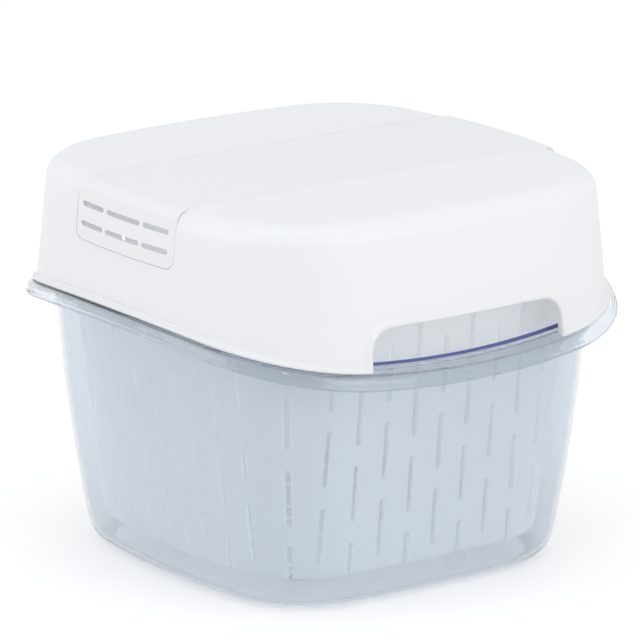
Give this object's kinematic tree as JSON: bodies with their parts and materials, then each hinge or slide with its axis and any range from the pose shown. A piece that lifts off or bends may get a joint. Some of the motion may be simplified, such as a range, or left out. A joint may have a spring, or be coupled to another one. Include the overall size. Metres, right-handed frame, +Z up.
{
  "type": "food storage container",
  "caption": "Clear square-round food keeper tub with a lift-out slotted strainer basket and a domed white lid with hand cut-outs and a slotted vent band.",
  "frame": {"origin": "centre of the flat under side that the tub stands on", "axes": "+Z up; +X towards one hand cut-out in the lid; -Y towards the vent panel that the picture shows"},
  "size_m": [0.27, 0.268, 0.206],
  "materials": {
    "clear_plastic": "clear, faintly blue, polished",
    "coloured_line": "indigo, satin",
    "frosted_plastic": "milky, slightly see-through",
    "white_plastic": "white, soft gloss",
    "white_band": "white, soft gloss"
  },
  "bodies": {
    "tub": {"tub": "clear_plastic", "rim_line": "coloured_line"},
    "basket": {"basket": "frosted_plastic"},
    "lid": {"lid_shell": "white_plastic", "vent_band": "white_band"}
  },
  "joints": [
    {"name": "basket_lift", "type": "slide", "parent": "tub", "child": "basket", "axis": [0, 0, 1], "range_m": [0, 0.16]},
    {"name": "lid_lift", "type": "slide", "parent": "basket", "child": "lid", "axis": [0, 0, 1], "range_m": [0, 0.12]}
  ]
}
